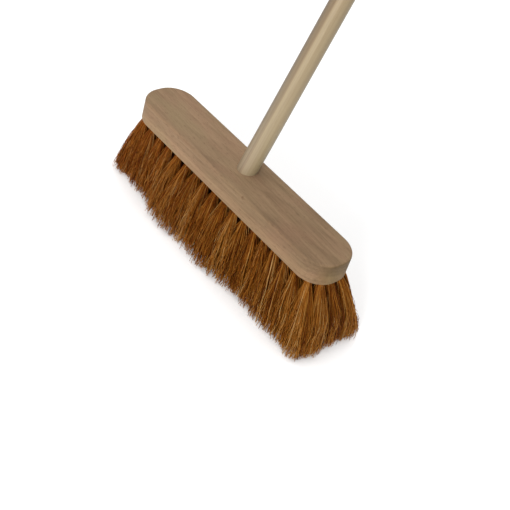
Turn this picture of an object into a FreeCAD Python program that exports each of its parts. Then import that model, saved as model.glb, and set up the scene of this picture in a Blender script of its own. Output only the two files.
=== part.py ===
import FreeCAD, Part
import math
import os

os.makedirs("parts", exist_ok=True)

# Push broom: a drilled wooden stock, five rows of coir tufts, and a round handle in an angled socket.
# Millimetres. X runs along the stock, Y across it, Z up from the floor that the bristle tips stand on.
# The origin is on the floor under the middle of the stock.

# Stock
STOCK_LENGTH = 305.0
STOCK_WIDTH = 60.0
STOCK_THICKNESS = 25.0
CORNER_RADIUS = 27.0
TOP_EDGE_RADIUS = 3.0
BOTTOM_EDGE_CHAMFER = 0.6

# Bristles
BRISTLE_LENGTH = 75.0
TUFT_PITCH = 16.0
ROW_SPACING = 12.0
TUFT_EDGE_MARGIN = 6.5
HOLE_RADIUS = 3.2
HOLE_DEPTH = 8.0
HOLE_CLEARANCE = 0.1
NECK_RADIUS = 3.4
NECK_GAP = 0.2
BELLY_HEIGHT = 50.0
BELLY_RADIUS = 6.9
BELLY_SPREAD = 0.42
TIP_RADIUS = 8.7
SPREAD_ALONG = 1.1
SPREAD_ACROSS = 1.75
CORNER_FLARE = 0.023
CORNER_FLARE_ALONG = 0.6
TIP_SET = FreeCAD.Vector(7.0, 3.0, 0.0)
HOLE_LEAN_SHARE = 0.5

# Flat anchors that pin the folded fibres
ANCHOR_WIDTH = 6.8
ANCHOR_THICKNESS = 0.5
ANCHOR_HEIGHT = 2.0
ANCHOR_BELOW_HOLE_END = 1.2

# Handle
HANDLE_RADIUS = 11.0
HANDLE_LENGTH = 1200.0
HANDLE_LEAN = math.radians(17.5)
HANDLE_OFFSET = 4.0
HANDLE_END_ROUND = 7.0
SOCKET_DEPTH = 14.0
SOCKET_END_GAP = 0.3
SOCKET_CLEARANCE = 0.05
TAPER_TOP = 12.0
TAPER_KNEE = -4.0
KNEE_RADIUS = 10.95
END_RADIUS = 9.5
END_CHAMFER = 1.0

STOCK_BOTTOM = BRISTLE_LENGTH
STOCK_TOP = STOCK_BOTTOM + STOCK_THICKNESS
UP = FreeCAD.Vector(0, 0, 1)
HANDLE_AXIS = FreeCAD.Vector(0, math.sin(HANDLE_LEAN), math.cos(HANDLE_LEAN))
HANDLE_ENTRY = FreeCAD.Vector(0, HANDLE_OFFSET, STOCK_TOP)


def rounded_outline(half_length, half_width, radius, z):
    """Closed wire of a rectangle with quarter-round corners, in a horizontal plane."""
    a = half_length - radius
    b = half_width - radius
    d = radius * math.sqrt(0.5)

    def at(x, y):
        return FreeCAD.Vector(x, y, z)

    edges = [
        Part.LineSegment(at(-a, -half_width), at(a, -half_width)),
        Part.Arc(at(a, -half_width), at(a + d, -b - d), at(half_length, -b)),
        Part.LineSegment(at(half_length, -b), at(half_length, b)),
        Part.Arc(at(half_length, b), at(a + d, b + d), at(a, half_width)),
        Part.LineSegment(at(a, half_width), at(-a, half_width)),
        Part.Arc(at(-a, half_width), at(-a - d, b + d), at(-half_length, b)),
        Part.LineSegment(at(-half_length, b), at(-half_length, -b)),
        Part.Arc(at(-half_length, -b), at(-a - d, -b - d), at(-a, -half_width)),
    ]
    return Part.Wire([edge.toShape() for edge in edges])


def edges_at_height(solid, z):
    """The edges of a solid that lie in the horizontal plane at height z."""
    return [e for e in solid.Edges if abs(e.BoundBox.ZMin - z) < 1e-6 and abs(e.BoundBox.ZMax - z) < 1e-6]


def stock_blank():
    """The block before drilling: rounded ends, rounded top edge, small chamfer below."""
    outline = rounded_outline(STOCK_LENGTH / 2, STOCK_WIDTH / 2, CORNER_RADIUS, STOCK_BOTTOM)
    block = Part.Face(outline).extrude(UP * STOCK_THICKNESS)
    block = block.makeFillet(TOP_EDGE_RADIUS, edges_at_height(block, STOCK_TOP))
    return block.makeChamfer(BOTTOM_EDGE_CHAMFER, edges_at_height(block, STOCK_BOTTOM))


def handle_profile(grow, end_at):
    """Half outline of the handle's lower end as (radius, height) pairs; height 0 is the stock's top face."""
    return [
        (0.0, end_at),
        (END_RADIUS - END_CHAMFER + grow, end_at),
        (END_RADIUS + grow, end_at + END_CHAMFER),
        (KNEE_RADIUS + grow, TAPER_KNEE),
        (HANDLE_RADIUS + grow, TAPER_TOP),
    ]


def turned(profile):
    """Solid of revolution about Z from a (radius, height) outline."""
    points = [FreeCAD.Vector(radius, 0, height) for radius, height in profile]
    face = Part.Face(Part.makePolygon(points + points[:1]))
    return face.revolve(FreeCAD.Vector(0, 0, 0), UP, 360)


def seated(solid):
    """Move a solid built about Z onto the handle's leaning axis."""
    solid.Placement = FreeCAD.Placement(HANDLE_ENTRY, FreeCAD.Rotation(UP, HANDLE_AXIS))
    return solid


def socket():
    """The blind hole that takes the handle's tapered end."""
    end_at = -SOCKET_DEPTH - SOCKET_END_GAP
    profile = handle_profile(SOCKET_CLEARANCE, end_at)
    return seated(turned(profile + [(0.0, TAPER_TOP)]))


def handle():
    """The pole: tapered where it enters the stock, plain above, rounded over at its free end."""
    top = HANDLE_LENGTH - SOCKET_DEPTH
    pole = turned(handle_profile(0.0, -SOCKET_DEPTH) + [(HANDLE_RADIUS, top), (0.0, top)])
    return seated(pole.makeFillet(HANDLE_END_ROUND, edges_at_height(pole, top)))


def past_corner(x):
    """How far x lies past the point where the stock's rounded corners start."""
    return max(abs(x) - (STOCK_LENGTH / 2 - CORNER_RADIUS), 0.0)


def end_limit(x):
    """Largest |y| for a tuft at this x, on the stock's outline moved in by the edge margin."""
    radius = CORNER_RADIUS - TUFT_EDGE_MARGIN
    corner_y = STOCK_WIDTH / 2 - CORNER_RADIUS
    return corner_y + math.sqrt(radius**2 - past_corner(x)**2)


def column_rows(step, last):
    """Rows with a tuft in a column: two and three by turns, and then the curve of each end."""
    if abs(step) == last:
        return (-1, 0, 1)
    if abs(step) == last - 1:
        return (-2, 2)
    return (-1, 1) if step % 2 == 0 else (-2, 0, 2)


def tuft_columns():
    """Tuft positions, one list per column, as (row, centre of the hole's mouth)."""
    half = int((STOCK_LENGTH / 2 - TUFT_EDGE_MARGIN) / (TUFT_PITCH / 2))
    columns = []
    for step in range(-half, half + 1):
        x = step * TUFT_PITCH / 2
        limit = end_limit(x)
        column = []
        for row in column_rows(step, half):
            y = max(-limit, min(limit, row * ROW_SPACING))
            column.append((row, FreeCAD.Vector(x, y, STOCK_BOTTOM)))
        columns.append(column)
    return columns


def tip_centre(mouth):
    """Where a tuft reaches the floor: spread outwards, most at the corners, with a set to one side."""
    flare = past_corner(mouth.x) * mouth.y * CORNER_FLARE
    along = math.copysign(abs(flare) * CORNER_FLARE_ALONG, mouth.x)
    spread = FreeCAD.Vector(mouth.x * SPREAD_ALONG + along, mouth.y * SPREAD_ACROSS + flare, 0)
    return spread + TIP_SET


def hole_axis(mouth):
    """Direction of a tuft hole, from its mouth up into the stock."""
    spread = mouth - tip_centre(mouth)
    lean = FreeCAD.Vector(spread.x * HOLE_LEAN_SHARE, spread.y * HOLE_LEAN_SHARE, spread.z)
    return lean.normalize()


def tuft_hole(mouth):
    """A drilled hole, started a little below the stock so that its mouth is clean."""
    axis = hole_axis(mouth)
    start = mouth - axis
    return Part.makeCylinder(HOLE_RADIUS, HOLE_DEPTH + 1.0, start, axis)


def anchor(mouth):
    """The flat strip across a tuft hole; its two ends bite into the wood."""
    centre = mouth + hole_axis(mouth) * (HOLE_DEPTH - ANCHOR_BELOW_HOLE_END - ANCHOR_HEIGHT / 2)
    corner = centre - FreeCAD.Vector(ANCHOR_WIDTH, ANCHOR_THICKNESS, ANCHOR_HEIGHT) * 0.5
    return Part.makeBox(ANCHOR_WIDTH, ANCHOR_THICKNESS, ANCHOR_HEIGHT, corner)


def circle_wire(centre, radius):
    return Part.Wire(Part.makeCircle(radius, centre, UP))


def tuft(mouth):
    """One bundle of fibres: a round root in its hole, then a bell that opens quickly and reaches the floor."""
    axis = hole_axis(mouth)
    root_radius = HOLE_RADIUS - HOLE_CLEARANCE
    root_start = mouth - axis * NECK_RADIUS
    root = Part.makeCylinder(root_radius, NECK_RADIUS + HOLE_DEPTH - HOLE_CLEARANCE, root_start, axis)
    neck = circle_wire(mouth - UP * NECK_GAP, NECK_RADIUS)
    tip_at = tip_centre(mouth)
    belly_at = mouth + (tip_at - mouth) * BELLY_SPREAD
    belly_at.z = BELLY_HEIGHT
    belly = circle_wire(belly_at, BELLY_RADIUS)
    bell = Part.makeLoft([neck, belly, circle_wire(tip_at, TIP_RADIUS)], True, True)
    return bell.fuse(root).cut(anchor(mouth))


def stock(mouths):
    """The block with its tuft holes, anchor bites and handle socket."""
    cutters = [tuft_hole(mouth) for mouth in mouths]
    cutters += [anchor(mouth) for mouth in mouths]
    cutters.append(socket())
    return stock_blank().cut(cutters)


def write(name, shape):
    """Save one node; a group of separate pieces is saved as a compound."""
    shape.exportStep("parts/" + name + ".step")


def main():
    columns = tuft_columns()
    tufts = [entry for column in columns for entry in column]
    write("stock", stock([mouth for _, mouth in tufts]))
    write("handle", handle())
    for number, column in enumerate(columns, 1):
        group = Part.makeCompound([tuft(mouth) for _, mouth in column])
        write("tufts_column_%02d" % number, group)
    for row in range(-2, 3):
        group = Part.makeCompound([anchor(mouth) for place, mouth in tufts if place == row])
        write("anchors_row_%d" % (row + 3), group)


main()
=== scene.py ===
import math

import bpy
import numpy as np
from mathutils import Matrix, Quaternion, Vector


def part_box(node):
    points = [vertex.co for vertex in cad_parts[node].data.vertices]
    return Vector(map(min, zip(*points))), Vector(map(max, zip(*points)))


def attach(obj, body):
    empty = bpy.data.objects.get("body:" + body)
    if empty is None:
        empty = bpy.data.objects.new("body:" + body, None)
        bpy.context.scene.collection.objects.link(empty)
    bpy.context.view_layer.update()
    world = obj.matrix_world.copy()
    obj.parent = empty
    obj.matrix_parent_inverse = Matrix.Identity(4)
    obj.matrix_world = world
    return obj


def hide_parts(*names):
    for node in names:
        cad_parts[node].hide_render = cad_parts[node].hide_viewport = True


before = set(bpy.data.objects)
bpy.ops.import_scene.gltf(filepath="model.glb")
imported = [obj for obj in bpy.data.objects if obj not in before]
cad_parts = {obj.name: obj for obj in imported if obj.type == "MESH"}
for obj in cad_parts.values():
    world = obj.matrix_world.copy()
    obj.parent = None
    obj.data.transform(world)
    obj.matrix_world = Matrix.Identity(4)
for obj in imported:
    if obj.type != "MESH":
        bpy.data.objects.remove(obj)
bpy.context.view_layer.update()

MM = 0.001

# Tuft field, in millimetres: columns of two tufts and three by turns, with three at each end
TUFT_PITCH = 16.0
ROW_SPACING = 12.0
EDGE_MARGIN = 6.5
CORNER_RADIUS = 27.0
SPREAD_ALONG = 1.1
SPREAD_ACROSS = 1.75
CORNER_FLARE = 0.023
CORNER_FLARE_ALONG = 0.6
TIP_SET = np.array([7.0, 3.0, 0.0])
LEAN_SHARE = 0.5
ROOT_RADIUS = 3.0
ROOT_DEPTH = 5.0

# Coir fibres, in millimetres. A fibre's place in its tuft is drawn from a unit disc, and the fan
# is how far the disc's edge moves along the stock and across it.
FIRST_SEED = 1000
FIBRES_PER_TUFT = 240
FIBRES_AT_ENDS = 420
FIBRE_RADIUS = 0.27
THICKNESS_RANGE = (0.7, 1.3)
TIP_TAPER = 0.95
LOCKS_PER_TUFT = 36
LOCK_PULL = 0.5
LOCK_HEIGHT = (0.5, 2.3)
LOOSENESS = 0.10
FAN = np.array([13.0, 11.5])
END_FAN = np.array([13.0, 16.0])
LEAN_CURVE = (0.55, 0.88)
FAN_CURVE = (0.6, 0.98)
TIP_HEIGHT = 1.0
RAGGED = 1.1
SHORT_SHARE = 0.05
SHORT_BY = (3.0, 16.0)
STRAY_SHARE = 0.18
STRAY_REACH = (1.3, 0.25)
RINGS = 15
SIDES = 3
LOWEST_CENTRE = 0.15
FLOOR_GAP = 0.02

# Crimp of a fibre: typical swing in millimetres, and the fewest and most waves in its length
CRIMP = ((1.2, 0.5, 1.4), (1.0, 1.8, 4.0))

# Fibre tones, from 0 for the darkest coir to 1 for the palest
BASE_TONE = 0.40
FIBRE_TONE_SPREAD = 0.18
LOCK_TONE_SPREAD = 0.17
TUFT_TONE_SPREAD = 0.03
PALE_SHARE = 0.08
PALE_TONE = 0.20
PALE_THICKER = 0.3
FRAYED_FROM = 0.88
FRAYED_TONE = 0.2
# Painted shade: fibres darken towards the root, under the stock.
SHADED_TO = 0.25
SHADED_TONE = -0.16
PATCHY_TONE = 0.15
PATCHY_WAVES = (1.0, 3.5)

# The near fringe is worn unevenly: how far its tips stand inwards at places along the stock.
# The wear is full at FULL_WEAR_AT from the middle line, and fades out towards it.
WORN_AT = (-155.0, -115.0, -90.0, -66.0, -40.0, -15.0, 15.0, 70.0, 110.0, 165.0)
WORN_IN = (9.0, 10.0, 6.0, -4.0, -4.0, 2.0, -4.0, 5.0, 3.0, 1.0)
FULL_WEAR_AT = 45.0

# The coir is a little paler or darker at some places along the stock.
TONE_AT = (-140.0, -110.0, -70.0, 25.0, 90.0, 140.0)
TONE_SHIFT = (-0.05, -0.02, -0.015, 0.035, -0.045, -0.045)

# Fibres that would pass the two ends of the field are drawn back to this share of their excess.
END_REACH = (-162.0, 170.0)
END_GIVE = 0.35

# The outer fibres of two corners hang straight. Each side has its azimuth in degrees, and its
# distance from the origin at the floor and at the stock.
CORNER_SIDES = ((54.7, 136.5, 100.5), (-145.8, 153.0, 128.0))
SIDE_GIVE = 0.3

# Handle, in millimetres. The foot's edge is given as steps from its radius and its end, and the
# taper as radii and heights above the stock's top face.
HANDLE_RADIUS = 11.0
HANDLE_LENGTH = 1200.0
HANDLE_LEAN = math.radians(17.5)
HANDLE_OFFSET = 4.0
SOCKET_DEPTH = 14.0
HANDLE_END_ROUND = 7.0
END_ROUND_LEVELS = 9
FOOT_RADIUS = 9.5
FOOT_ROUND = ((-1.0, 0.0), (-0.3, 0.3), (0.0, 1.0))
TAPER = ((10.95, -4.0), (10.975, 4.0), (HANDLE_RADIUS, 12.0))
PLAIN_FROM = 30.0
PLAIN_TO_TOP = 20.0
PLAIN_LEVELS = 60
POLE_SIDES = 72

# Marks on the stock, in metres: the knot, the smudge, and the dark grain by the near top edge
KNOT_AT = (0.0325, -0.0287, 0.0985)
SMUDGE_AT = (0.027, 0.0067, 0.1)
DARK_GRAIN_Y = -0.0262

# Camera
CAMERA_TARGET = Vector((0.0329, 0.0198, 0.0))
CAMERA_DISTANCE = 1.1361
CAMERA_AZIMUTH = math.radians(-52.37)
CAMERA_ELEVATION = math.radians(40.36)
CAMERA_ROLL = math.radians(18.73)
CAMERA_LENS = 73.92

# Studio
FLOOR_HALF_SIDE = 12.0
LAMP_DISTANCE = 5.0
FILL_LEVEL = 0.5
BACKDROP_LEVEL = 1.0

STOCK_LOW, STOCK_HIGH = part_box("stock")
STOCK_BOTTOM = STOCK_LOW.z / MM
STOCK_TOP = STOCK_HIGH.z / MM
HALF_LENGTH = STOCK_HIGH.x / MM
HALF_WIDTH = STOCK_HIGH.y / MM


# ---------------------------------------------------------------- node helpers

class Tree:
    """A material's nodes, with short calls to add and join them."""

    def __init__(self, name):
        self.material = bpy.data.materials.new(name)
        self.material.use_nodes = True
        self.nodes = self.material.node_tree.nodes
        self.links = self.material.node_tree.links
        self.shader = self.nodes["Principled BSDF"]

    def put(self, value, socket):
        if isinstance(value, bpy.types.NodeSocket):
            self.links.new(value, socket)
        else:
            socket.default_value = value

    def add(self, kind, inputs=(), out=0, **settings):
        node = self.nodes.new(kind)
        for key, value in settings.items():
            setattr(node, key, value)
        for key, value in dict(inputs).items():
            self.put(value, node.inputs[key])
        return node.outputs[out]

    def coords(self):
        return self.add("ShaderNodeTexCoord", out="Object")

    def mapped(self, vector, scale, rotation=(0, 0, 0), location=(0, 0, 0)):
        inputs = {"Vector": vector, "Scale": scale, "Rotation": rotation, "Location": location}
        return self.add("ShaderNodeMapping", inputs)

    def noise(self, vector, scale=1.0, detail=4.0, roughness=0.55, distortion=0.0):
        inputs = {
            "Vector": vector,
            "Scale": scale,
            "Detail": detail,
            "Roughness": roughness,
            "Distortion": distortion,
        }
        return self.add("ShaderNodeTexNoise", inputs)

    def math(self, operation, a, b=0.0, clamp=False):
        return self.add("ShaderNodeMath", {0: a, 1: b}, operation=operation, use_clamp=clamp)

    def times(self, a, b):
        return self.math("MULTIPLY", a, b)

    def ramp(self, factor, stops):
        node = self.nodes.new("ShaderNodeValToRGB")
        points = node.color_ramp.elements
        while len(points) < len(stops):
            points.new(0.5)
        for point, (position, colour) in zip(points, stops):
            point.position = position
            point.color = colour
        self.links.new(factor, node.inputs[0])
        return node.outputs[0]

    def spread(self, value, low, high, to_low=0.0, to_high=1.0):
        inputs = {0: value, 1: low, 2: high, 3: to_low, 4: to_high}
        return self.add("ShaderNodeMapRange", inputs, clamp=True)

    def mix(self, factor, a, b, blend="MIX"):
        inputs = {"Factor": factor, 6: a, 7: b}
        return self.add("ShaderNodeMix", inputs, out=2, data_type="RGBA", blend_type=blend)

    def tint(self, factor, colour, tone):
        """A colour multiplied by a tone, as far as the factor says."""
        return self.mix(factor, colour, (*tone, 1.0), blend="MULTIPLY")

    def split(self, vector):
        node = self.nodes.new("ShaderNodeSeparateXYZ")
        self.links.new(vector, node.inputs[0])
        return node.outputs[0], node.outputs[1], node.outputs[2]

    def distance(self, vector, place):
        inputs = {0: vector, 1: place}
        return self.add("ShaderNodeVectorMath", inputs, out=1, operation="DISTANCE")

    def bump(self, height, strength, distance):
        inputs = {"Height": height, "Strength": strength, "Distance": distance}
        self.links.new(self.add("ShaderNodeBump", inputs), self.shader.inputs["Normal"])


def linear(red, green, blue):
    """Linear colour with alpha from 0 to 255 display values."""
    def one(value):
        value = value / 255
        return value / 12.92 if value <= 0.04045 else ((value + 0.055) / 1.055) ** 2.4

    return (one(red), one(green), one(blue), 1.0)


def grey(value):
    return (value, value, value, 1.0)


# ---------------------------------------------------------------- materials

def stock_wood():
    """Plain sanded beech: growth rings cut by the board's faces, streaks, pores and ray flecks."""
    tree = Tree("stock_wood")
    point = tree.coords()
    warp = tree.noise(tree.mapped(point, (5, 22, 22)), detail=3)
    offset = tree.add("ShaderNodeVectorMath", {0: warp, 1: (0.5, 0.5, 0.5)}, operation="SUBTRACT")
    offset = tree.add("ShaderNodeVectorMath", {0: offset, 3: 0.010}, operation="SCALE")
    tilt = (0, math.radians(2.5), math.radians(-3))
    trunk = tree.mapped(point, (1, 1, 1), tilt, (0, 0.035, 0.045))
    trunk = tree.add("ShaderNodeVectorMath", {0: trunk, 1: offset}, operation="ADD")
    _, trunk_y, trunk_z = tree.split(trunk)
    radius = tree.times(trunk_y, trunk_y)
    radius = tree.math("ADD", radius, tree.times(trunk_z, trunk_z))
    radius = tree.math("SQRT", radius)
    ring = tree.math("FRACT", tree.times(radius, 210.0))
    ring = tree.ramp(ring, [
        (0.0, grey(0.25)),
        (0.55, grey(0.6)),
        (0.9, grey(1.0)),
        (1.0, grey(0.3)),
    ])
    oblique = tree.mapped(point, (1, 1, 1), (0, 0, math.radians(2.5)))
    fibres = tree.noise(tree.mapped(oblique, (28, 900, 900)), detail=5, roughness=0.7)
    streaks = tree.noise(tree.mapped(oblique, (16, 330, 330)), detail=3, roughness=0.6)
    bands = tree.noise(tree.mapped(oblique, (6, 90, 90)), detail=3)
    flecks = tree.noise(tree.mapped(point, (190, 900, 900), (0, 0, math.radians(2))), detail=1)
    flecks = tree.spread(flecks, 0.60, 0.70)

    from_middle = tree.math("ABSOLUTE", tree.split(point)[0])
    figure = tree.mix(0.60, ring, tree.spread(bands, 0.3, 0.7))
    figure = tree.mix(0.35, figure, tree.spread(streaks, 0.3, 0.7))
    figure = tree.mix(0.25, figure, tree.spread(fibres, 0.3, 0.7))
    colour = tree.ramp(figure, [
        (0.0, linear(156, 130, 98)),
        (0.45, linear(138, 112, 84)),
        (1.0, linear(100, 78, 55)),
    ])
    blotch = tree.noise(tree.mapped(point, (16, 34, 34)), detail=2)
    blotch = tree.spread(blotch, 0.42, 0.66, 0.0, 0.5)
    blotch = tree.times(blotch, tree.spread(from_middle, 0.05, 0.11, 0.4, 1.0))
    colour = tree.mix(blotch, colour, linear(138, 119, 86))
    pink = tree.noise(tree.mapped(point, (13, 40, 40), location=(3, 1, 2)), detail=2)
    colour = tree.mix(tree.spread(pink, 0.46, 0.68, 0.0, 0.35), colour, linear(146, 110, 86))
    colour = tree.mix(tree.times(flecks, 0.4), colour, linear(98, 73, 52))

    # Painted shade darkening the top towards one end, most on the near half; darker wood just
    # inside the near top edge, paler sapwood below.
    x, y, z = tree.split(tree.add("ShaderNodeVectorMath", {0: point, 1: offset}, operation="ADD"))
    # Painted shade: the top is darkened towards one end, as if the light fell off along it.
    painted_end_shade = tree.spread(x, -0.07, 0.11)
    painted_end_shade = tree.times(painted_end_shade, tree.spread(y, -0.004, 0.012, 1.0, 0.3))
    colour = tree.tint(painted_end_shade, colour, (0.88, 0.85, 0.82))
    inside = tree.math("ABSOLUTE", tree.math("SUBTRACT", y, DARK_GRAIN_Y))
    edge_line = tree.spread(inside, 0.0015, 0.006, 1.0, 0.0)
    edge_line = tree.times(edge_line, tree.spread(z, 0.090, 0.099))
    edge_line = tree.times(edge_line, tree.spread(x, 0.03, 0.125, 0.35, 1.0))
    edge_line = tree.times(edge_line, tree.spread(streaks, 0.3, 0.6, 0.5, 1.0))
    colour = tree.tint(edge_line, colour, (0.76, 0.73, 0.71))
    below = tree.spread(z, 0.0835, 0.0885, 1.0, 0.0)
    colour = tree.tint(below, colour, (1.18, 1.18, 1.18))

    # End grain is darker, and darkest just under the top edge.
    facing = tree.add("ShaderNodeTexCoord", out="Normal")
    facing = tree.math("ABSOLUTE", tree.split(facing)[0])
    end_grain = tree.spread(facing, 0.60, 0.90)
    colour = tree.tint(end_grain, colour, (0.80, 0.79, 0.66))
    end_top = tree.times(end_grain, tree.spread(z, 0.084, 0.097))
    colour = tree.tint(end_top, colour, (0.80, 0.80, 0.78))

    # A small knot, and a short dark smudge on the top face
    away = tree.distance(point, KNOT_AT)
    knot = tree.spread(away, 0.0007, 0.0018, 1.0, 0.0)
    colour = tree.mix(tree.times(knot, 0.7), colour, linear(92, 62, 38))
    away = tree.distance(tree.mapped(point, (0.35, 1, 1)), SMUDGE_AT)
    colour = tree.mix(tree.spread(away, 0.0004, 0.0016, 0.4, 0.0), colour, linear(92, 70, 50))

    tree.put(colour, tree.shader.inputs["Base Color"])
    tree.put(tree.spread(figure, 0.0, 1.0, 0.62, 0.8), tree.shader.inputs["Roughness"])
    tree.shader.inputs["Specular IOR Level"].default_value = 0.3
    height = tree.math("ADD", fibres, tree.times(flecks, -0.8))
    height = tree.math("ADD", height, tree.times(knot, -1.5))
    tree.bump(height, 0.25, 0.0003)
    return tree.material


def handle_wood():
    """Pale close-grained pole: long straight grain, a greyish tone and painted shade down one side,
    painted shade on its back, smooth.
    """
    tree = Tree("handle_wood")
    turn = Quaternion((1, 0, 0), HANDLE_LEAN)
    entry = turn @ (Vector((0.0, HANDLE_OFFSET, STOCK_TOP)) * MM)
    point = tree.mapped(tree.coords(), (1, 1, 1), tuple(turn.to_euler()), tuple(-entry))
    slow = tree.noise(tree.mapped(point, (60, 60, 1.2)), detail=3, distortion=0.3)
    lines = tree.noise(tree.mapped(point, (420, 420, 3.0)), detail=4, roughness=0.6)
    fine = tree.noise(tree.mapped(point, (1500, 1500, 25)), detail=3)
    figure = tree.mix(0.45, tree.spread(slow, 0.3, 0.7), tree.spread(lines, 0.32, 0.68))
    colour = tree.ramp(figure, [
        (0.0, linear(182, 166, 135)),
        (0.5, linear(170, 153, 122)),
        (1.0, linear(148, 130, 100)),
    ])
    patch = tree.noise(tree.mapped(point, (25, 25, 9)), detail=2)
    colour = tree.mix(tree.spread(patch, 0.45, 0.75, 0.0, 0.4), colour, linear(160, 134, 108))
    colour = tree.mix(tree.spread(fine, 0.58, 0.75, 0.0, 0.3), colour, linear(112, 94, 68))

    # Round the pole: painted shade down one side, ending in a sharp edge where the lit strip
    # starts, a greyish tone there, a thin dark grain line in it, and painted shade on the back.
    x, y, z = tree.split(point)
    angle = tree.math("ARCTAN2", y, x)
    angle = tree.math("ADD", angle, tree.spread(slow, 0.3, 0.7, -0.06, 0.06))
    # Painted shade down one side of the pole, eased near its foot.
    painted_side_shade = tree.ramp(tree.spread(angle, -3.1, -1.1), [
        (0.0, grey(1.0)),
        (0.3, grey(0.52)),
        (0.52, grey(0.50)),
        (0.685, grey(0.66)),
        (0.84, grey(0.78)),
        (0.92, grey(0.97)),
        (1.0, grey(1.0)),
    ])
    painted_side_shade = tree.mix(tree.spread(z, 0.015, 0.06, 0.5, 0.0), painted_side_shade, grey(0.88))
    colour = tree.mix(1.0, colour, painted_side_shade, blend="MULTIPLY")
    greyer_and_shaded = tree.spread(angle, -3.1, -2.5)
    greyer_and_shaded = tree.times(greyer_and_shaded, tree.spread(angle, -1.4, -1.2, 1.0, 0.0))
    colour = tree.tint(greyer_and_shaded, colour, (1.0, 0.97, 1.0))
    # Painted shade: the greyish side is darkened more higher up the pole.
    greyer_and_shaded = tree.times(greyer_and_shaded, tree.spread(z, 0.05, 0.15))
    colour = tree.tint(greyer_and_shaded, colour, (0.88, 0.85, 0.82))
    from_line = tree.math("ABSOLUTE", tree.math("SUBTRACT", angle, -1.55))
    line = tree.spread(from_line, 0.03, 0.14, 1.0, 0.0)
    line = tree.times(line, tree.spread(z, 0.02, 0.12, 0.6, 0.1))
    colour = tree.tint(line, colour, (0.72, 0.72, 0.72))
    # Painted shade on the back of the pole, deeper higher up.
    back = tree.spread(angle, -0.95, 0.0)
    back = tree.times(back, tree.spread(angle, 1.2, 2.6, 1.0, 0.0))
    colour = tree.tint(back, colour, (0.76, 0.74, 0.66))
    back = tree.times(back, tree.spread(z, 0.05, 0.18))
    colour = tree.tint(back, colour, (0.82, 0.81, 0.80))
    higher = tree.spread(z, 0.03, 0.2)
    colour = tree.tint(higher, colour, (0.94, 0.90, 0.86))

    tree.put(colour, tree.shader.inputs["Base Color"])
    tree.put(tree.spread(lines, 0.3, 0.7, 0.36, 0.5), tree.shader.inputs["Roughness"])
    tree.shader.inputs["Specular IOR Level"].default_value = 0.45
    tree.bump(tree.math("ADD", lines, fine), 0.12, 0.0003)
    return tree.material


def coir():
    """Coconut fibre: its tone is held in an attribute of the mesh, and mottled along its length."""
    tree = Tree("coir")
    tone = tree.add("ShaderNodeAttribute", out="Fac", attribute_name="tone")
    mottle = tree.noise(tree.coords(), scale=420.0, detail=3)
    tone = tree.math("ADD", tone, tree.spread(mottle, 0.3, 0.7, -0.10, 0.10), clamp=True)
    colour = tree.ramp(tone, [
        (0.0, linear(88, 36, 0)),
        (0.35, linear(144, 84, 17)),
        (0.65, linear(170, 113, 44)),
        (0.88, linear(184, 136, 76)),
        (1.0, linear(196, 156, 100)),
    ])
    redder = tree.spread(tree.split(tree.coords())[0], -0.15, 0.05, 0.35, 0.0)
    colour = tree.mix(redder, colour, linear(142, 70, 20))
    tree.put(colour, tree.shader.inputs["Base Color"])
    tree.put(tree.spread(mottle, 0.3, 0.7, 0.55, 0.8), tree.shader.inputs["Roughness"])
    tree.shader.inputs["Specular IOR Level"].default_value = 0.08
    return tree.material


def anchor_metal():
    """Thin galvanised strip with fine drawing lines."""
    tree = Tree("anchor_metal")
    drawn = tree.noise(tree.mapped(tree.coords(), (150, 4000, 4000)), detail=3)
    colour = tree.ramp(drawn, [(0.3, linear(126, 128, 130)), (0.7, linear(182, 184, 186))])
    tree.put(colour, tree.shader.inputs["Base Color"])
    tree.shader.inputs["Metallic"].default_value = 1.0
    tree.put(tree.spread(drawn, 0.3, 0.7, 0.3, 0.5), tree.shader.inputs["Roughness"])
    tree.bump(drawn, 0.2, 0.0001)
    return tree.material


def floor_paper():
    """Matt studio paper with a barely visible tooth."""
    tree = Tree("floor_paper")
    tooth = tree.noise(tree.coords(), scale=900.0, detail=2)
    colour = tree.ramp(tooth, [(0.3, grey(0.94)), (0.7, grey(0.96))])
    tree.put(colour, tree.shader.inputs["Base Color"])
    tree.shader.inputs["Roughness"].default_value = 0.95
    tree.shader.inputs["Specular IOR Level"].default_value = 0.1
    tree.shader.inputs["Emission Color"].default_value = grey(1.0)
    tree.shader.inputs["Emission Strength"].default_value = 0.10
    return tree.material


# ---------------------------------------------------------------- coir tufts

def unit(vectors):
    return vectors / np.linalg.norm(vectors, axis=-1, keepdims=True)


def past_corner(x):
    """How far x lies past the point where the stock's rounded corners start."""
    return max(abs(x) - (HALF_LENGTH - CORNER_RADIUS), 0.0)


def end_limit(x):
    """Largest |y| of a tuft at this x: the stock's outline moved in by the edge margin."""
    radius = CORNER_RADIUS - EDGE_MARGIN
    return HALF_WIDTH - CORNER_RADIUS + math.sqrt(radius**2 - past_corner(x)**2)


def column_rows(step, last):
    """Rows with a tuft in a column: two and three by turns, and then the curve of each end."""
    if abs(step) == last:
        return (-1, 0, 1)
    if abs(step) == last - 1:
        return (-2, 2)
    return (-1, 1) if step % 2 == 0 else (-2, 0, 2)


def tuft_columns():
    """Mouth of every tuft hole, one list per column, in millimetres."""
    half = int((HALF_LENGTH - EDGE_MARGIN) / (TUFT_PITCH / 2))
    columns = []
    for step in range(-half, half + 1):
        x = step * TUFT_PITCH / 2
        limit = end_limit(x)
        places = [max(-limit, min(limit, row * ROW_SPACING)) for row in column_rows(step, half)]
        columns.append([np.array([x, y, STOCK_BOTTOM]) for y in places])
    return columns


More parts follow.
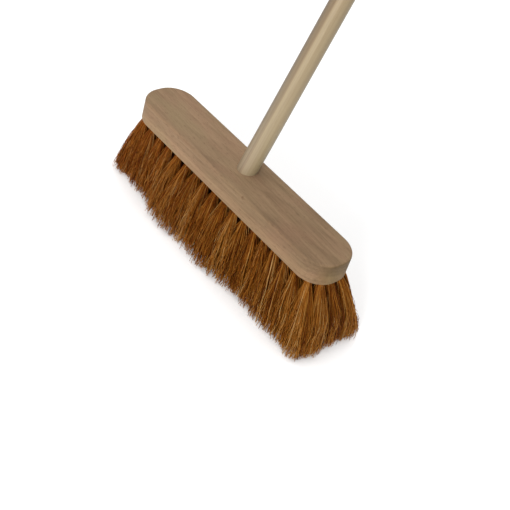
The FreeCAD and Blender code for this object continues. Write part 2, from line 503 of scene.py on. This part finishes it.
def tip_centre(mouth):
    """Where the middle of a tuft reaches the floor."""
    flare = past_corner(mouth[0]) * mouth[1] * CORNER_FLARE
    along = math.copysign(abs(flare) * CORNER_FLARE_ALONG, mouth[0])
    spread = mouth * np.array([SPREAD_ALONG, SPREAD_ACROSS, 0.0])
    return spread + TIP_SET + np.array([along, flare, 0.0])


def disc(rng, count):
    """Even random points in a unit disc."""
    angle = rng.uniform(0, 2 * math.pi, count)
    radius = np.sqrt(rng.uniform(0, 1, count))
    return np.stack([radius * np.cos(angle), radius * np.sin(angle)], axis=1)


def flat(points):
    """Points in the plane as points in space."""
    return np.concatenate([points, np.zeros((len(points), 1))], axis=1)


def opening(step, curve):
    """Share of a sideways run that is reached at each step of the way down."""
    early, late = curve
    return 3 * (1 - step) ** 2 * step * early + 3 * (1 - step) * step**2 * late + step**3


def tuft_locks(rng):
    """Place, tone and height of the locks that a tuft's fibres gather in."""
    place = disc(rng, LOCKS_PER_TUFT)
    tone = rng.normal(0.0, LOCK_TONE_SPREAD, LOCKS_PER_TUFT)
    height = rng.normal(*LOCK_HEIGHT, LOCKS_PER_TUFT)
    return place, tone, height


def gathered(rng, place, lock_place):
    """Fibre places in the unit disc after each is pulled to its lock; strays go their own way."""
    count = len(place)
    drawn = place + (lock_place - place) * LOCK_PULL
    drawn += rng.normal(0.0, LOOSENESS, (count, 2))
    stray = rng.uniform(0, 1, count) < STRAY_SHARE
    drawn[stray] += rng.uniform(-1.0, 1.0, (int(stray.sum()), 2)) * STRAY_REACH
    return drawn


def drops(rng, height):
    """How far each fibre hangs below the stock, from the height of its lock."""
    low = TIP_HEIGHT + height + np.abs(rng.normal(0.0, RAGGED, len(height)))
    short = rng.uniform(0, 1, len(height)) < SHORT_SHARE
    low[short] += rng.uniform(*SHORT_BY, int(short.sum()))
    return STOCK_BOTTOM - np.maximum(low, LOWEST_CENTRE)


def hold_in(rng, line):
    """Draw back the fibres that reach past the ends or past the sides of the straight corners."""
    line[:, :, 0] -= (line[:, :, 0] - np.clip(line[:, :, 0], *END_REACH)) * (1 - END_GIVE)
    give = rng.uniform(0.0, SIDE_GIVE, (len(line), 1))
    for azimuth, at_floor, at_stock in CORNER_SIDES:
        out = np.array([math.cos(math.radians(azimuth)), math.sin(math.radians(azimuth))])
        side = at_floor + (at_stock - at_floor) * line[:, :, 2] / STOCK_BOTTOM
        beyond = np.maximum(line[:, :, :2] @ out - side, 0.0) * (1 - give)
        line[:, :, :2] -= beyond[:, :, None] * out


def crimped(rng, line, step):
    """The fibres with their natural crimp, which grows away from the root."""
    count = len(line)
    path = line[:, -1] - line[:, 0]
    side_a = unit(np.cross(path, rng.normal(0.0, 1.0, (count, 3))))
    side_b = unit(np.cross(path, side_a))
    for side in (side_a, side_b):
        for size, fewest, most in CRIMP:
            swing = np.abs(rng.normal(0.0, size, (count, 1, 1)))
            waves = rng.uniform(fewest, most, (count, 1, 1))
            phase = rng.uniform(0, 2 * math.pi, (count, 1, 1))
            wave = np.sin(2 * math.pi * waves * step + phase)
            line = line + side[:, None, :] * swing * step * wave
    line[:, :, 2] = np.clip(line[:, :, 2], LOWEST_CENTRE, STOCK_BOTTOM)
    return line


def fibre_radii(rng, pale):
    """Radius of each fibre at each of its rings."""
    thick = FIBRE_RADIUS * rng.uniform(*THICKNESS_RANGE, (len(pale), 1))
    thick = thick * (1 + PALE_THICKER * pale[:, None])
    taper = np.concatenate([[1.0], np.linspace(1.0, TIP_TAPER, RINGS - 1)])
    return thick * taper[None, :]


def fibre_tones(rng, tone, pale):
    """Tone of each fibre at each ring: painted shade darkening the root, patchy, and paler at a
    frayed tip.
    """
    count = len(pale)
    tone = tone + rng.normal(0.0, FIBRE_TONE_SPREAD, count) + PALE_TONE * pale
    along = np.concatenate([[0.0], np.linspace(0.0, 1.0, RINGS - 1)])
    frayed = np.maximum(along - FRAYED_FROM, 0.0) / (1 - FRAYED_FROM) * FRAYED_TONE
    shaded = np.maximum(SHADED_TO - along, 0.0) / SHADED_TO * SHADED_TONE
    phase = rng.uniform(0, 2 * math.pi, (count, 1))
    waves = rng.uniform(*PATCHY_WAVES, (count, 1))
    patchy = PATCHY_TONE * np.sin(2 * math.pi * waves * along[None, :] + phase)
    return np.minimum(tone[:, None] + (frayed + shaded)[None, :] + patchy, 1.0)


def tuft_fibres(rng, mouth):
    """Centre lines, radii and tones of one tuft's fibres."""
    at_end = past_corner(mouth[0]) > 0
    count = FIBRES_AT_ENDS if at_end else FIBRES_PER_TUFT
    lean = tip_centre(mouth) - mouth
    axis = -lean * np.array([LEAN_SHARE, LEAN_SHARE, 1.0])
    axis = axis / np.linalg.norm(axis)
    lean[2] = 0.0

    lock_place, lock_tone, lock_height = tuft_locks(rng)
    tuft_tone = rng.normal(0.0, TUFT_TONE_SPREAD) + np.interp(mouth[0], TONE_AT, TONE_SHIFT)
    place = disc(rng, count)
    gap = np.linalg.norm(place[:, None, :] - lock_place[None, :, :], axis=2)
    lock = gap.argmin(axis=1)
    drawn = gathered(rng, place, lock_place[lock])

    # The middle tuft of each end opens wider, to fill the gap between its neighbours.
    widest = END_FAN if at_end and mouth[1] == 0 else FAN
    root = place * ROOT_RADIUS
    leave = mouth + flat(root)
    fan = flat(drawn * widest - root)
    tip = leave + lean + fan
    near = np.clip(-tip[:, 1] / FULL_WEAR_AT, 0.0, 1.0) ** 2
    fan[:, 1] += near * np.interp(tip[:, 0], WORN_AT, WORN_IN)
    drop = drops(rng, lock_height[lock])

    step = np.linspace(0.0, 1.0, RINGS - 1)[None, :, None]
    line = leave[:, None, :] + lean * opening(step, LEAN_CURVE)
    line = line + fan[:, None, :] * opening(step, FAN_CURVE)
    line[:, :, 2] -= drop[:, None] * step[:, :, 0]
    hold_in(rng, line)
    line = crimped(rng, line, step)
    start = leave + axis * ROOT_DEPTH
    line = np.concatenate([start[:, None, :], line], axis=1)

    pale = rng.uniform(0, 1, count) < PALE_SHARE
    radius = fibre_radii(rng, pale)
    tones = fibre_tones(rng, BASE_TONE + tuft_tone + lock_tone[lock], pale)
    return line, radius, tones


def fibre_mesh(name, line, radius, tones):
    """Mesh of thin closed tubes round the given centre lines."""
    count, rings, _ = line.shape
    along = unit(np.gradient(line, axis=1))
    across = unit(np.cross(along, np.array([0.83, 0.41, 0.37])))
    other = np.cross(along, across)
    angles = np.arange(SIDES) * 2 * math.pi / SIDES
    ring = (
        across[:, :, None, :] * np.cos(angles)[None, None, :, None]
        + other[:, :, None, :] * np.sin(angles)[None, None, :, None]
    )
    points = line[:, :, None, :] + ring * radius[:, :, None, None]
    points[..., 2] = np.maximum(points[..., 2], FLOOR_GAP)

    index = np.arange(count * rings * SIDES).reshape(count, rings, SIDES)
    following = np.roll(index, -1, axis=2)
    walls = [index[:, :-1], following[:, :-1], following[:, 1:], index[:, 1:]]
    walls = np.stack(walls, axis=-1).reshape(-1, 4)
    caps = np.concatenate([index[:, 0, ::-1], index[:, -1, :]])

    mesh = bpy.data.meshes.new(name)
    mesh.vertices.add(points.size // 3)
    mesh.vertices.foreach_set("co", (points * MM).astype(np.float32).ravel())
    corners = np.concatenate([walls.ravel(), caps.ravel()])
    sizes = np.concatenate([np.full(len(walls), 4), np.full(len(caps), SIDES)])
    mesh.loops.add(len(corners))
    mesh.loops.foreach_set("vertex_index", corners.astype(np.int32))
    mesh.polygons.add(len(sizes))
    starts = np.concatenate([[0], np.cumsum(sizes)[:-1]])
    mesh.polygons.foreach_set("loop_start", starts.astype(np.int32))
    mesh.update(calc_edges=True)
    mesh.validate()
    mesh.shade_smooth()
    attribute = mesh.attributes.new("tone", "FLOAT", "POINT")
    attribute.data.foreach_set("value", np.repeat(tones.ravel(), SIDES).astype(np.float32))
    return mesh


def coir_columns(material):
    """One piece of fibres for each column of tufts."""
    for number, column in enumerate(tuft_columns(), 1):
        rng = np.random.default_rng(FIRST_SEED + number)
        tufts = [tuft_fibres(rng, mouth) for mouth in column]
        line, radius, tones = (np.concatenate(parts) for parts in zip(*tufts))
        name = f"coir_column_{number:02d}"
        piece = bpy.data.objects.new(name, fibre_mesh(name, line, radius, tones))
        bpy.context.scene.collection.objects.link(piece)
        piece.data.materials.append(material)
        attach(piece, "broom_head")
        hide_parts(f"tufts_column_{number:02d}")


# ---------------------------------------------------------------- handle

def pole_outline():
    """(radius, height) pairs of the pole; height 0 is where its axis meets the stock's top face."""
    outline = [(FOOT_RADIUS + out, -SOCKET_DEPTH + up) for out, up in FOOT_ROUND]
    outline += TAPER
    top = HANDLE_LENGTH - SOCKET_DEPTH
    plain = np.linspace(PLAIN_FROM, top - PLAIN_TO_TOP, PLAIN_LEVELS)
    outline += [(HANDLE_RADIUS, float(height)) for height in plain]
    for turn in np.linspace(0.0, math.pi / 2, END_ROUND_LEVELS):
        reach = HANDLE_RADIUS - HANDLE_END_ROUND + HANDLE_END_ROUND * math.cos(turn)
        outline.append((reach, top - HANDLE_END_ROUND + HANDLE_END_ROUND * math.sin(turn)))
    return outline


def pole(material):
    """The handle as a turned mesh, fine enough to stay round close up."""
    outline = pole_outline()
    angles = np.linspace(0.0, 2 * math.pi, POLE_SIDES, endpoint=False)
    points = [(r * math.cos(a), r * math.sin(a), h) for r, h in outline for a in angles]
    faces = [tuple(range(POLE_SIDES))[::-1]]
    for level in range(len(outline) - 1):
        for side in range(POLE_SIDES):
            here = level * POLE_SIDES + side
            beside = level * POLE_SIDES + (side + 1) % POLE_SIDES
            faces.append((here, beside, beside + POLE_SIDES, here + POLE_SIDES))
    last = (len(outline) - 1) * POLE_SIDES
    faces.append(tuple(range(last, last + POLE_SIDES)))
    mesh = bpy.data.meshes.new("pole")
    mesh.from_pydata([Vector(p) * MM for p in points], [], faces)
    mesh.shade_smooth()
    mesh.transform(Quaternion((1, 0, 0), -HANDLE_LEAN).to_matrix().to_4x4())
    mesh.transform(Matrix.Translation(Vector((0.0, HANDLE_OFFSET, STOCK_TOP)) * MM))
    mesh.materials.append(material)
    piece = bpy.data.objects.new("pole", mesh)
    bpy.context.scene.collection.objects.link(piece)
    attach(piece, "handle")
    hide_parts("handle")


def finish_cad_nodes(wood, metal):
    """The stock and the anchors keep their CAD shapes and get their materials."""
    for name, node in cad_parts.items():
        if name == "stock":
            node.material_slots[0].material = wood
        elif name.startswith("anchors"):
            node.material_slots[0].material = metal


# ---------------------------------------------------------------- studio

def direction(azimuth, elevation):
    """Unit vector towards a place in the sky, from angles in radians."""
    level = math.cos(elevation)
    return Vector((level * math.cos(azimuth), level * math.sin(azimuth), math.sin(elevation)))


def floor():
    """A wide sheet of paper under the bristles."""
    side = FLOOR_HALF_SIDE
    mesh = bpy.data.meshes.new("floor")
    corners = [(-side, -side, 0), (side, -side, 0), (side, side, 0), (-side, side, 0)]
    mesh.from_pydata(corners, [], [(0, 1, 2, 3)])
    mesh.materials.append(floor_paper())
    sheet = bpy.data.objects.new("floor", mesh)
    bpy.context.scene.collection.objects.link(sheet)


def distant_light(name, azimuth, elevation, softness, level):
    """A large far light; level is how bright it alone makes white paper that faces it."""
    light = bpy.data.lights.new(name, "SUN")
    light.energy = level * math.pi
    light.angle = math.radians(softness)
    lamp = bpy.data.objects.new(name, light)
    towards = direction(math.radians(azimuth), math.radians(elevation))
    lamp.location = towards * LAMP_DISTANCE
    lamp.rotation_mode = "QUATERNION"
    lamp.rotation_quaternion = (-towards).to_track_quat("-Z", "Y")
    bpy.context.scene.collection.objects.link(lamp)


def studio():
    """A white room that fills the shadows, one soft main light and one softer light from above."""
    world = bpy.data.worlds.new("studio")
    world.use_nodes = True
    nodes = world.node_tree.nodes
    background = nodes["Background"]
    background.inputs["Color"].default_value = (1.0, 1.0, 1.0, 1.0)
    seen = nodes.new("ShaderNodeLightPath").outputs["Is Camera Ray"]
    strength = nodes.new("ShaderNodeMapRange")
    strength.inputs["To Min"].default_value = FILL_LEVEL
    strength.inputs["To Max"].default_value = BACKDROP_LEVEL
    world.node_tree.links.new(seen, strength.inputs["Value"])
    world.node_tree.links.new(strength.outputs[0], background.inputs["Strength"])
    bpy.context.scene.world = world
    distant_light("key", azimuth=-68, elevation=22, softness=20, level=0.60)
    distant_light("top", azimuth=150, elevation=72, softness=40, level=0.50)
    bpy.context.scene.view_settings.view_transform = "Standard"


def camera():
    lens = bpy.data.cameras.new("camera")
    lens.lens = CAMERA_LENS
    lens.sensor_width = 36.0
    lens.clip_end = 100.0
    eye = bpy.data.objects.new("camera", lens)
    towards = direction(CAMERA_AZIMUTH, CAMERA_ELEVATION)
    eye.location = CAMERA_TARGET + towards * CAMERA_DISTANCE
    level = (-towards).to_track_quat("-Z", "Y")
    eye.rotation_mode = "QUATERNION"
    eye.rotation_quaternion = level @ Quaternion((0, 0, 1), CAMERA_ROLL)
    bpy.context.scene.collection.objects.link(eye)
    bpy.context.scene.camera = eye


camera()
studio()
floor()
coir_columns(coir())
pole(handle_wood())
finish_cad_nodes(stock_wood(), anchor_metal())
